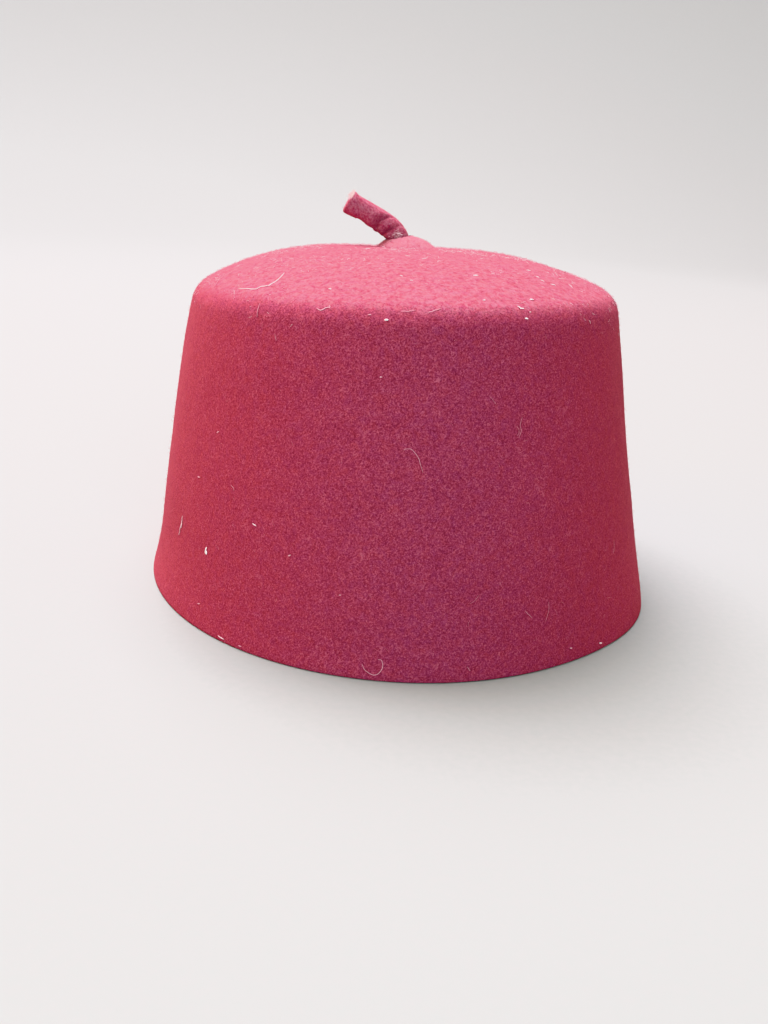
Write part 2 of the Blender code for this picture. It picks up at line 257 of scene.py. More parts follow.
def feltMaterial(name, look):
    material, tree, surface = emptyMaterial(name)
    place = addNode(tree, "ShaderNodeTexCoord").outputs["Object"]
    moved = addNode(tree, "ShaderNodeMapping", {"Vector": place, "Location": (look["seed"], 0, 0)}).outputs[0]
    wool = addNode(tree, "ShaderNodeGroup", node_tree=woolGroup)
    fillSocket(tree, wool.inputs["Vector"], moved)
    fillSocket(tree, wool.inputs["Coarse"], attributeNode(tree, "coarse"))
    for socket, colour in (("Dark", "dark"), ("Body", "body"), ("Plum", "plum"), ("Light", "light")):
        wool.inputs[socket].default_value = (*look[colour], 1)
    for socket, size in (("Drift Size", "driftSize"), ("Tuft Size", "tuftSize"),
                         ("Grain Size", "grainSize"), ("Strand Size", "strandSize")):
        wool.inputs[socket].default_value = feltLook[size] * look["fineness"]
    # Painted warm light on the sides, painted sheen and undyed wool, each painted by an attribute of the mesh
    side = mathNode(tree, "MULTIPLY", attributeNode(tree, "ruddy"), feltLook["paintedWarmSideShare"])
    colour = mixColours(tree, side, wool.outputs["Color"], (*feltLook["ruddy"], 1))
    # Painted sheen, broken into patches by a noise
    hazeScale = 1 / (feltLook["hazeSize"] * look["fineness"])
    patches = noiseNode(tree, moved, hazeScale, 3.0, 0.6, 0.8)
    broken = mapNode(tree, patches, look["hazeLow"], feltLook["hazeHigh"])
    haze = mathNode(tree, "MULTIPLY", attributeNode(tree, "haze"), broken)
    colour = mixColours(tree, haze, colour, (*feltLook["haze"], 1))
    colour = mixColours(tree, attributeNode(tree, "undyed"), colour, (*feltLook["cream"], 1))
    # Painted shade: the felt is darker along the stem's creases
    paintedShade = mathNode(tree, "MULTIPLY", attributeNode(tree, "crease"), feltLook["creaseShade"])
    colour = mixColours(tree, paintedShade, colour, (*look["dark"], 1))
    bump = addNode(tree, "ShaderNodeBump",
                   {"Height": wool.outputs["Height"], "Strength": feltLook["bumpStrength"],
                    "Distance": feltLook["bumpHeight"] * look["fineness"]})
    fillSocket(tree, surface.inputs["Base Color"], colour)
    fillSocket(tree, surface.inputs["Roughness"], wool.outputs["Roughness"])
    fillSocket(tree, surface.inputs["Normal"], bump.outputs["Normal"])
    return material


# Single strands: the number of a strand, and the colour that goes with it
strandLook = {
    "napWool": ((0.0, (0.13, 0.016, 0.03)), (0.3, (0.29, 0.045, 0.08)), (0.6, (0.35, 0.06, 0.11)),
                (0.92, (0.50, 0.12, 0.16)), (1.0, (0.66, 0.3, 0.32))),
    "paleWool": ((0.0, (0.42, 0.11, 0.15)), (0.5, (0.62, 0.32, 0.34)), (1.0, (0.9, 0.82, 0.76))),
    "creamWool": ((0.0, (0.72, 0.52, 0.48)), (0.5, (0.86, 0.76, 0.68)), (1.0, (0.94, 0.9, 0.84))),
    "mottle": (0.3, 0.7, 0.75, 1.0),  # noise from and to, share of the colour at each of them
    "mottleDark": (0.1, 0.01, 0.02),
    "roughness": (0.75, 1.0, 0.95, 0.7),  # mottle from and to, roughness at each of them
}


def strandMaterial(name):
    material, tree, surface = emptyMaterial(name)
    stops = strandLook[name]
    ramp = addNode(tree, "ShaderNodeValToRGB", {"Fac": attributeNode(tree, "strand")})
    ramp.color_ramp.elements[0].position = stops[0][0]
    ramp.color_ramp.elements[0].color = (*stops[0][1], 1)
    ramp.color_ramp.elements[1].position = stops[-1][0]
    ramp.color_ramp.elements[1].color = (*stops[-1][1], 1)
    for position, colour in stops[1:-1]:
        ramp.color_ramp.elements.new(position).color = (*colour, 1)
    place = addNode(tree, "ShaderNodeTexCoord").outputs["Object"]
    grain = noiseNode(tree, place, 1 / feltLook["grainSize"], 2.0)
    mottle = mapNode(tree, grain, *strandLook["mottle"])
    # Painted sheen: strands are painted paler where the felt under them is
    strandSheen = mathNode(tree, "MULTIPLY", attributeNode(tree, "haze"), feltLook["strandHaze"])
    # Painted warm light: strands on the sides of the wall are painted redder
    side = mathNode(tree, "MULTIPLY", attributeNode(tree, "ruddy"), feltLook["paintedWarmSideShare"])
    colour = mixColours(tree, side, ramp.outputs["Color"], (*feltLook["ruddy"], 1))
    colour = mixColours(tree, strandSheen, colour, (*feltLook["haze"], 1))
    colour = mixColours(tree, mottle, (*strandLook["mottleDark"], 1), colour)
    fillSocket(tree, surface.inputs["Base Color"], colour)
    fillSocket(tree, surface.inputs["Roughness"], mapNode(tree, mottle, *strandLook["roughness"]))
    return material


woolGroup = makeWoolGroup()
crownFelt = feltMaterial("crownFelt", feltLook["crown"])
collarFelt = feltMaterial("collarFelt", feltLook["collar"])
stemFelt = feltMaterial("stemFelt", feltLook["stem"])
napWool = strandMaterial("napWool")
paleWool = strandMaterial("paleWool")
creamWool = strandMaterial("creamWool")
print("materials made")


# Fine felt bodies, grown from the frame's own solids
bodySizes = {
    "crown": {"levels": 2, "cutRounding": 0.0007, "swellHeight": 0.0009, "swellSize": 0.032,
              "pitHeight": 0.00022, "pitSize": 0.0055, "seed": 1.7},
    "stem_collar": {"levels": 2, "cutRounding": 0.00015, "swellHeight": 0.0005, "swellSize": 0.0042,
                    "pitHeight": 0.00022, "pitSize": 0.0016, "seed": 4.4},
    "stem": {"levels": 2, "cutRounding": 0.0002, "swellHeight": 0.0003, "swellSize": 0.0034,
             "pitHeight": 0.0002, "pitSize": 0.0014, "seed": 9.2},
    "weld": 0.00002,
    "flat": math.radians(30),  # triangles within this angle join into fours
    "skew": math.radians(60),
    "sharp": math.radians(40),
    "cutSteps": 2,
    # The unevenness fades out near the floor, the collar and the foot of the stem
    "rimStill": 0.004,
    "collarStill": 0.014,
    "tipFrom": 0.1,  # the height above which the collar counts
    "domeSlope": 0.5,  # of the normal, where the collar is uneven in full
    "footStill": 0.0035,
    "footFree": 0.006,
}


def makeSkinTree():
    inputs = [("Felt", "NodeSocketGeometry", None), ("Levels", "NodeSocketInt", 2)]
    inputs += [(name, "NodeSocketFloat", 0.001) for name in
               ("Swell Height", "Swell Size", "Pit Height", "Pit Size", "Seed")]
    inputs += [("Wool", "NodeSocketMaterial", None)]
    tree, given, result = newTree("feltSkin", "GeometryNodeTree", inputs, (("Felt", "NodeSocketGeometry"),))
    fine = addNode(tree, "GeometryNodeSubdivisionSurface", {"Mesh": given["Felt"], "Level": given["Levels"]})
    place = addNode(tree, "GeometryNodeInputPosition").outputs[0]
    shifted = addNode(tree, "ShaderNodeVectorMath", {0: place, 1: given["Seed"]}, operation="ADD").outputs[0]
    swell = noiseNode(tree, shifted, mathNode(tree, "DIVIDE", 1.0, given["Swell Size"]), 2.0)
    pit = noiseNode(tree, shifted, mathNode(tree, "DIVIDE", 1.0, given["Pit Size"]), 3.0, 0.6)
    move = mathNode(tree, "MULTIPLY", mathNode(tree, "SUBTRACT", swell, 0.5), given["Swell Height"])
    dent = mathNode(tree, "MULTIPLY", mathNode(tree, "SUBTRACT", pit, 0.5), given["Pit Height"])
    give = addNode(tree, "GeometryNodeInputNamedAttribute", {"Name": "give"}, data_type="FLOAT").outputs[0]
    move = mathNode(tree, "MULTIPLY", mathNode(tree, "ADD", move, dent), give)
    normal = addNode(tree, "GeometryNodeInputNormal").outputs[0]
    offset = addNode(tree, "ShaderNodeVectorMath", {0: normal, "Scale": move}, operation="SCALE").outputs[0]
    moved = addNode(tree, "GeometryNodeSetPosition", {"Geometry": fine.outputs[0], "Offset": offset})
    smooth = addNode(tree, "GeometryNodeSetShadeSmooth", {0: moved.outputs[0]})
    real = addNode(tree, "GeometryNodeRealizeInstances", {0: smooth.outputs[0]})
    done = addNode(tree, "GeometryNodeSetMaterial", {"Geometry": real.outputs[0], "Material": given["Wool"]})
    fillSocket(tree, result.inputs[0], done.outputs[0])
    return tree


def runTree(piece, tree, values):
    # The tree's result becomes the piece's plain mesh
    modifier = piece.modifiers.new(tree.name, "NODES")
    modifier.node_group = tree
    for item in tree.interface.items_tree:
        if item.item_type == "SOCKET" and item.in_out == "INPUT" and item.name in values:
            modifier[item.identifier] = values[item.name]
    graph = bpy.context.evaluated_depsgraph_get()
    mesh = bpy.data.meshes.new_from_object(piece.evaluated_get(graph), preserve_all_data_layers=True,
                                           depsgraph=graph)
    piece.modifiers.clear()
    piece.data = mesh
    mesh.name = piece.name


def paintPoints(mesh, name, rule):
    # A number for each vertex, from its place and normal
    layer = mesh.attributes.get(name) or mesh.attributes.new(name, "FLOAT", "POINT")
    layer.data.foreach_set("value", [rule(v.co, v.normal) for v in mesh.vertices])


def ease(value, low, high):
    share = min(1.0, max(0.0, (value - low) / (high - low)))
    return share * share * (3 - 2 * share)


def feltBody(node, name, material, give):
    sizes = bodySizes[node]
    bm = bmesh.new()
    bm.from_mesh(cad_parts[node].data)
    bmesh.ops.remove_doubles(bm, verts=bm.verts, dist=bodySizes["weld"])
    bmesh.ops.join_triangles(bm, faces=bm.faces, angle_face_threshold=bodySizes["flat"],
                             angle_shape_threshold=bodySizes["skew"])
    sharp = [edge for edge in bm.edges if edge.is_manifold and edge.calc_face_angle() > bodySizes["sharp"]]
    bmesh.ops.bevel(bm, geom=sharp, offset=sizes["cutRounding"], segments=bodySizes["cutSteps"], profile=0.5,
                    affect="EDGES", clamp_overlap=True)
    mesh = bpy.data.meshes.new(name)
    bm.to_mesh(mesh)
    bm.free()
    paintPoints(mesh, "give", give)
    piece = bpy.data.objects.new(name, mesh)
    scene.collection.objects.link(piece)
    runTree(piece, skinTree, {"Levels": sizes["levels"], "Swell Height": sizes["swellHeight"],
                              "Swell Size": sizes["swellSize"], "Pit Height": sizes["pitHeight"],
                              "Pit Size": sizes["pitSize"], "Seed": sizes["seed"], "Wool": material})
    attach(piece, "root")
    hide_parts(node)
    print(name, "has", sum(len(face.vertices) - 2 for face in piece.data.polygons), "triangles")
    return piece


def boxMiddle(node):
    low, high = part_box(node)
    return (low + high) / 2


collarMiddle = boxMiddle("stem_collar")
skinTree = makeSkinTree()


def crownGive(place, normal):
    share = ease(place.z, 0, bodySizes["rimStill"])
    if place.z > bodySizes["tipFrom"]:
        fromCollar = math.hypot(place.x - collarMiddle.x, place.y - collarMiddle.y)
        share *= ease(fromCollar, bodySizes["collarStill"], 2 * bodySizes["collarStill"])
    return share


def collarGive(place, normal):
    return ease(normal.z, 0.0, bodySizes["domeSlope"])


def stemGive(place, normal):
    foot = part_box("stem")[0].z
    return ease(place.z, foot + bodySizes["footStill"], foot + bodySizes["footFree"])


crown = feltBody("crown", "felt_crown", crownFelt, crownGive)
collar = feltBody("stem_collar", "felt_collar", collarFelt, collarGive)
stem = feltBody("stem", "felt_stem", stemFelt, stemGive)


# Rays from the photo's pixels onto the felt
def rayTree(pieces):
    points, faces = [], []
    for piece in pieces:
        first = len(points)
        points += [vertex.co.copy() for vertex in piece.data.vertices]
        faces += [[first + corner for corner in face.vertices] for face in piece.data.polygons]
    return BVHTree.FromPolygons(points, faces)


def photoHit(tree, pixel):
    place, normal, _, _ = tree.ray_cast(Vector(cameraSizes["place"]), photoRay(*pixel))
    return place, normal


# The collar's felt runs out thin onto the tip, with no gap under its edge
seatSizes = {"sink": 0.00006, "domeHeight": 0.0039, "domePower": 2.2, "above": 0.01,
             "lipHeight": 0.00025, "lipWidth": 0.0008, "lipReach": 0.0045, "lipWave": 0.0018}


def bell(distance, width):
    return math.exp(-(distance / width) ** 2)


def seatCollar():
    tip = rayTree([crown])
    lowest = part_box("stem")[0].z
    foot = [vertex.co for vertex in stem.data.vertices if vertex.co.z < lowest + creaseSizes["footKept"]]
    stemFoot = sum(foot, Vector()) / len(foot)
    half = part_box("stem_collar")[1] - collarMiddle
    for vertex in collar.data.vertices:
        start = vertex.co + Vector((0, 0, seatSizes["above"]))
        below, _, _, _ = tip.ray_cast(start, Vector((0, 0, -1)))
        gap = max(0, vertex.co.z - below.z)
        away = vertex.co - collarMiddle
        fromMiddle = math.hypot(away.x / half.x, away.y / half.y)
        dome = seatSizes["domeHeight"] * (1 - min(1, fromMiddle) ** seatSizes["domePower"])
        # A low uneven lip stands round the stem's foot
        fromFoot = math.hypot(vertex.co.x - stemFoot.x, vertex.co.y - stemFoot.y)
        lip = seatSizes["lipHeight"] * bell(fromFoot - seatSizes["lipReach"], seatSizes["lipWidth"])
        lip *= (1 + noise.noise(vertex.co / seatSizes["lipWave"])) * ease(dome, 0, seatSizes["lipWave"])
        vertex.co.z = below.z - seatSizes["sink"] + min(gap, dome) + lip
    collar.data.update()


# Creases of the stem, each a ring through three pixels of the photo
creaseSizes = {
    "passes": 140,
    "smoothing": 0.5,
    "footKept": 0.0012,
    "endKept": 0.0045,
    "heelHeight": 0.0042,
    "heelSpread": 0.0022,
    "heelPush": 0.0017,
    "reach": 0.003,
    "rollAway": 0.0012,
    "rollWidth": 0.0006,
    "rollHeight": 0.00016,
    "inside": (-0.75, 0.0, -0.66),  # towards the inside of the bend
    "insideShare": 0.5,
    "outsideShare": 0.1,
    "turnFrom": 0.2,  # a crease eases from its sides to the inside or outside between these
    "turnTo": 0.95,
    "shadeSpread": 1.5,  # the painted shade's width against the crease's
}
creaseTable = (
    # pixels, depth, width
    (((389, 217), (379.5, 218.6), (375.5, 224)), 0.0008, 0.00042),
    (((399.5, 226), (390, 228.6), (384.5, 232)), 0.0008, 0.0004),
)


def softenStem():
    # The coarse form's notches are smoothed away between the stem's foot and its cut end
    foot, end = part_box("stem")[0].z + creaseSizes["footKept"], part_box("stem")[0].x + creaseSizes["endKept"]
    bm = bmesh.new()
    bm.from_mesh(stem.data)
    between = [vertex for vertex in bm.verts if vertex.co.z > foot and vertex.co.x > end]
    for _ in range(creaseSizes["passes"]):
        bmesh.ops.smooth_vert(bm, verts=between, factor=creaseSizes["smoothing"],
                              use_axis_x=True, use_axis_y=True, use_axis_z=True)
    # The felt gathers in a heel inside the bend, just above the foot
    inner = Vector(creaseSizes["inside"])
    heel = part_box("stem")[0].z + creaseSizes["heelHeight"]
    for vertex in between:
        facing = max(0, vertex.normal.dot(inner))
        near = bell(vertex.co.z - heel, creaseSizes["heelSpread"])
        vertex.co.x -= creaseSizes["heelPush"] * facing * near
    bm.to_mesh(stem.data)
    bm.free()
    stem.data.update()


def creaseStem():
    surface = rayTree([stem])
    layer = stem.data.attributes.new("crease", "FLOAT", "POINT")
    reach, rollAway = creaseSizes["reach"], creaseSizes["rollAway"]
    for pixels, depth, width in creaseTable:
        hits = [photoHit(surface, pixel)[0] for pixel in pixels]
        axis = (hits[1] - hits[0]).cross(hits[2] - hits[0]).normalized()
        near = [vertex for vertex in stem.data.vertices if abs((vertex.co - hits[1]).dot(axis)) < reach]
        ring = [vertex.co for vertex in near if abs((vertex.co - hits[1]).dot(axis)) < rollAway]
        middle = sum(ring, Vector()) / len(ring)
        for vertex in near:
            away = (vertex.co - hits[1]).dot(axis)
            out = (vertex.co - middle - axis * (vertex.co - middle).dot(axis)).normalized()
            # Deepest on the sides, shallow inside the bend and shallower outside it
            inside = out.dot(Vector(creaseSizes["inside"]))
            share = creaseSizes["insideShare" if inside > 0 else "outsideShare"]
            share = 1 - (1 - share) * ease(abs(inside), creaseSizes["turnFrom"], creaseSizes["turnTo"])
            roll = sum(bell(away + side, creaseSizes["rollWidth"]) for side in (-rollAway, rollAway))
            vertex.co += out * share * (creaseSizes["rollHeight"] * roll - depth * bell(away, width))
            # Painted shade along each crease
            layer.data[vertex.index].value += share * bell(away, creaseSizes["shadeSpread"] * width)
    stem.data.update()


seatCollar()
softenStem()
creaseStem()
feltTree = rayTree([crown, collar, stem])
print("collar seated, stem creased")


# Where the nap grows, where the wool is pale and where light and shade are painted, as numbers on the vertices
zoneSizes = {
    "foldHeight": 0.098,  # below it is the wall, above it the tip's rounding
    "foldSpread": 0.006,
    "rimTop": 0.0035,
    "endSlope": math.radians(26.5),  # of the stem's straight part
    "endReach": 0.0005,
    "endPale": 0.0028,  # how far down the cut end the pale wool shows
    "paintedWarmSideFrom": 0.0,  # painted warm side light, from the middle plane to each side
    "paintedWarmSideTo": 0.095,
    # Pale nap at the back of the tip, partly worn nap and partly painted highlight
    "wornFront": -0.085,
    "wornBack": 0.06,
    "wornPatch": 0.012,
    "wornSpeck": 0.004,
    "wornSpeckShare": 0.4,
    "wornFrom": -0.1,  # of the patches' noise
    "wornTo": 0.4,
    "footPixel": (398, 234.5),  # middle of the lint by the stem's foot
    "footReach": 0.0022,
    "footEdge": 0.001,  # the stem's own nap starts within this of the lint
    "insideHeight": 0.04,  # of a place inside the hat from which its outer face points away
    "collarSlope": (0.1, 0.5),  # the nap comes in between these slopes of the collar
    "coarseSlope": (0.8, 0.98),  # and the coarse grain between these of the tip
    # How pale the felt is: painted sheen on the tip, collar and stem, and undyed wool at the cut end
    "tipSlope": (0.5, 0.9),
    "tipBack": (-0.01, 0.06),
    "tipSide": (-0.09, -0.05),
    "tipPale": 0.12,
    "tipBackPale": 0.6,
    "collarPale": 0.24,
    "stemPale": 0.15,
    "endUndyed": 0.6,
}


def isOuter(place, normal):
    return normal.dot(place - Vector((0, 0, zoneSizes["insideHeight"]))) > 0


def tipShare(place, normal):
    if not isOuter(place, normal):
        return 0
    return ease(place.z, zoneSizes["foldHeight"] - zoneSizes["foldSpread"],
                zoneSizes["foldHeight"] + zoneSizes["foldSpread"])


def wallShare(place, normal):
    if not isOuter(place, normal) or place.z < zoneSizes["rimTop"]:
        return 0
    return 1 - tipShare(place, normal)


def crownPaintedSheen(place, normal):
    # Painted sheen: the up-facing tip is painted a little paler, and its back much paler, where it catches
    # grazing light
    tip = tipShare(place, normal) * ease(normal.z, *zoneSizes["tipSlope"])
    back = ease(place.y, *zoneSizes["tipBack"]) * ease(place.x, *zoneSizes["tipSide"])
    return tip * (zoneSizes["tipPale"] + zoneSizes["tipBackPale"] * back)


# Painted warm light: the wall is painted redder towards each side, not on the tip
def paintedWarmSideShare(place, normal):
    return ease(abs(place.x), zoneSizes["paintedWarmSideFrom"], zoneSizes["paintedWarmSideTo"]) * (1 - tipShare(place, normal))


# The coarser grain of the up-facing tip stands partly for painted tuft shadows in grazing light
def coarseShare(place, normal):
    return tipShare(place, normal) * ease(normal.z, *zoneSizes["coarseSlope"])


def paleNapHighlightShare(place, normal):
    # Patches of pale nap along the back of the tip, broken up by a noise: partly worn nap and partly painted
    # highlight of the grazing light there
    back = ease(place.y, zoneSizes["wornFront"], zoneSizes["wornBack"]) * tipShare(place, normal)
    speck = noise.noise(place / zoneSizes["wornSpeck"])
    patch = noise.noise(place / zoneSizes["wornPatch"]) + zoneSizes["wornSpeckShare"] * speck
    return back * ease(patch, zoneSizes["wornFrom"], zoneSizes["wornTo"])


def collarShare(place, normal):
    return ease(normal.z, *zoneSizes["collarSlope"])


endAxis = Vector((-math.cos(zoneSizes["endSlope"]), 0, math.sin(zoneSizes["endSlope"])))
endPlane = max(vertex.co.dot(endAxis) for vertex in stem.data.vertices)
endTop = max(vertex.co.z for vertex in stem.data.vertices)
footPlace = photoHit(feltTree, zoneSizes["footPixel"])[0]


def endShare(place, normal):
    reach, pale = zoneSizes["endReach"], zoneSizes["endPale"]
    near = ease(place.dot(endAxis), endPlane - 2 * reach, endPlane - reach / 2)
    return near * ease(place.z, endTop - pale, endTop - pale / 3)


def stemShare(place, normal):
    return ease(place.z, footPlace.z - zoneSizes["footEdge"], footPlace.z + zoneSizes["footEdge"])


def footShare(place, normal):
    return ease((place - footPlace).length, zoneSizes["footReach"], 0)


paintPoints(crown.data, "tipZone", tipShare)
paintPoints(crown.data, "wallZone", wallShare)
paintPoints(crown.data, "haze", crownPaintedSheen)
paintPoints(crown.data, "ruddy", paintedWarmSideShare)
paintPoints(crown.data, "coarse", coarseShare)
paintPoints(crown.data, "paleNapHighlightZone", paleNapHighlightShare)
# Painted sheen: the whole collar is painted paler, which also lights its part in the stem's shadow
paintPoints(collar.data, "haze", lambda place, normal: zoneSizes["collarPale"])
paintPoints(collar.data, "collarZone", collarShare)
paintPoints(stem.data, "undyed", lambda place, normal: zoneSizes["endUndyed"] * endShare(place, normal))
paintPoints(stem.data, "frayZone", endShare)
paintPoints(stem.data, "stemZone", stemShare)
paintPoints(stem.data, "footZone", footShare)
# Painted sheen: the whole stem is painted a little paler
paintPoints(stem.data, "haze", lambda place, normal: zoneSizes["stemPale"])
print("zones painted")


# Nap: short strands of wool that stand off the felt
napSizes = {
    "wall_nap": {"on": "wallZone", "density": 185000, "length": 0.0016, "radius": 0.00002, "lean": 0.4,
                 "smallest": 0.35, "seed": 11},
    "tip_nap": {"on": "tipZone", "density": 455000, "length": 0.0015, "radius": 0.000022, "lean": 0.35,
                "smallest": 0.35, "seed": 23},
    "pale_nap_highlight": {"on": "paleNapHighlightZone", "density": 1700000, "length": 0.0013, "radius": 0.000036, "lean": 0.2,
                 "smallest": 0.4, "seed": 31},
    "collar_nap": {"on": "collarZone", "density": 1500000, "length": 0.0011, "radius": 0.00002, "lean": 0.4,
                   "smallest": 0.35, "seed": 37},
    "stem_nap": {"on": "stemZone", "density": 900000, "length": 0.0008, "radius": 0.000016, "lean": 0.9,
                 "smallest": 0.35, "seed": 41},
    "end_fray": {"on": "frayZone", "density": 14000000, "length": 0.001, "radius": 0.000024, "lean": 1.3,
                 "smallest": 0.3, "seed": 43},
    "foot_lint": {"on": "footZone", "density": 20000000, "length": 0.0008, "radius": 0.00003, "lean": 0.9,
                  "smallest": 0.3, "seed": 47},
}
# A strand as shares of its length, rooted just below the felt
strandShape = {
    # sideways bend and rise of its middle, rise of its tip
    "curls": ((0.04, 0.14, 0.04), (0.34, 0.2, 0.1), (-0.4, 0.08, 0.16)),
    "root": (0, 0, -0.05),
    "middle": 0.55,
    "sides": 3,
    "bends": 2,
    "tipWidth": 0.35,
    "longest": 1.2,
    "most": (0.3, 0.05, 2 * math.pi),  # of its roll, lift and turn on the felt
    "numberSeed": 5,
}


def makeNapTree():
    shape = strandShape
    inputs = [("Felt", "NodeSocketGeometry", None), ("Zone", "NodeSocketString", "")]
    inputs += [(name, "NodeSocketFloat", 0.001) for name in
               ("Density", "Length", "Radius", "Lean", "Smallest")]
    inputs += [("Seed", "NodeSocketInt", 0), ("Wool", "NodeSocketMaterial", None)]
    tree, given, result = newTree("woolNap", "GeometryNodeTree", inputs, (("Nap", "NodeSocketGeometry"),))
    zone = addNode(tree, "GeometryNodeInputNamedAttribute", {"Name": given["Zone"]}, data_type="FLOAT")
    density = mathNode(tree, "MULTIPLY", zone.outputs[0], given["Density"])
    points = addNode(tree, "GeometryNodeDistributePointsOnFaces",
                     {"Mesh": given["Felt"], "Density": density, "Seed": given["Seed"]})
    # Strands of length 1, told apart by how they curl
    thin = mathNode(tree, "DIVIDE", given["Radius"], given["Length"])
    profile = addNode(tree, "GeometryNodeCurvePrimitiveCircle",
                      {"Resolution": shape["sides"], "Radius": thin})
    along = addNode(tree, "GeometryNodeSplineParameter").outputs["Factor"]
    strands = addNode(tree, "GeometryNodeJoinGeometry")
    for side, rise, tip in shape["curls"]:
        bent = addNode(tree, "GeometryNodeCurveQuadraticBezier",
                       {"Resolution": shape["bends"], "Start": shape["root"],
                        "Middle": (shape["middle"], side, rise), "End": (1, 0, tip)})
        taper = mapNode(tree, along, 0.0, 1.0, 1.0, shape["tipWidth"])
        tapered = addNode(tree, "GeometryNodeSetCurveRadius", {"Curve": bent.outputs[0], "Radius": taper})
        tube = addNode(tree, "GeometryNodeCurveToMesh",
                       {"Curve": tapered.outputs[0], "Profile Curve": profile.outputs[0], "Fill Caps": True})
        single = addNode(tree, "GeometryNodeGeometryToInstance", {0: tube.outputs[0]})
        tree.links.new(single.outputs[0], strands.inputs[0])
    pick = addNode(tree, "FunctionNodeRandomValue", data_type="INT")
    pick.inputs["Min"].default_value = 0
    pick.inputs["Max"].default_value = len(shape["curls"]) - 1
    fillSocket(tree, pick.inputs["Seed"], given["Seed"])
    steepest = mathNode(tree, "MULTIPLY", given["Lean"], -1.0)
    least = addNode(tree, "ShaderNodeCombineXYZ", {"X": 0.0, "Y": steepest})
    turn = addNode(tree, "FunctionNodeRandomValue", {0: least.outputs[0], 1: shape["most"]},
                   data_type="FLOAT_VECTOR")
    euler = addNode(tree, "FunctionNodeEulerToRotation", {0: turn.outputs[0]})
    turned = addNode(tree, "FunctionNodeRotateRotation",
                     {"Rotation": points.outputs["Rotation"], "Rotate By": euler.outputs[0]},
                     rotation_space="LOCAL")
    size = addNode(tree, "FunctionNodeRandomValue", {2: given["Smallest"], 3: shape["longest"]},
                   data_type="FLOAT")
    scale = mathNode(tree, "MULTIPLY", size.outputs[1], given["Length"])
    placed = addNode(tree, "GeometryNodeInstanceOnPoints",
                     {"Points": points.outputs["Points"], "Instance": strands.outputs[0],
                      "Pick Instance": True, "Instance Index": pick.outputs[2],
                      "Rotation": turned.outputs[0], "Scale": scale})
    # Each strand has a number, from which its material picks a colour
    number = addNode(tree, "FunctionNodeRandomValue", {2: 0.0, 3: 1.0}, data_type="FLOAT")
    fillSocket(tree, number.inputs["Seed"], shape["numberSeed"])
    marked = addNode(tree, "GeometryNodeStoreNamedAttribute",
                     {"Geometry": placed.outputs[0], "Name": "strand"}, data_type="FLOAT", domain="INSTANCE")
    fillSocket(tree, marked.inputs["Value"], number.outputs[1])
    real = addNode(tree, "GeometryNodeRealizeInstances", {0: marked.outputs[0]})
    done = addNode(tree, "GeometryNodeSetMaterial", {"Geometry": real.outputs[0], "Material": given["Wool"]})
    fillSocket(tree, result.inputs[0], done.outputs[0])
    return tree


def growNap(name, felt, material):
    sizes = napSizes[name]
    piece = bpy.data.objects.new(name, felt.data)
    scene.collection.objects.link(piece)
    runTree(piece, napTree, {"Zone": sizes["on"], "Density": float(sizes["density"]),
                             "Length": sizes["length"], "Radius": sizes["radius"], "Lean": sizes["lean"],
                             "Smallest": sizes["smallest"], "Seed": sizes["seed"], "Wool": material})
    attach(piece, "root")
    print(name, "has", sum(len(face.vertices) - 2 for face in piece.data.polygons), "triangles")


napTree = makeNapTree()
growNap("wall_nap", crown, napWool)
growNap("tip_nap", crown, napWool)
# Pale strands: partly worn nap, partly painted highlight at the back of the tip
growNap("pale_nap_highlight", crown, paleWool)
growNap("collar_nap", collar, napWool)
growNap("stem_nap", stem, napWool)
growNap("end_fray", stem, creamWool)
growNap("foot_lint", stem, creamWool)


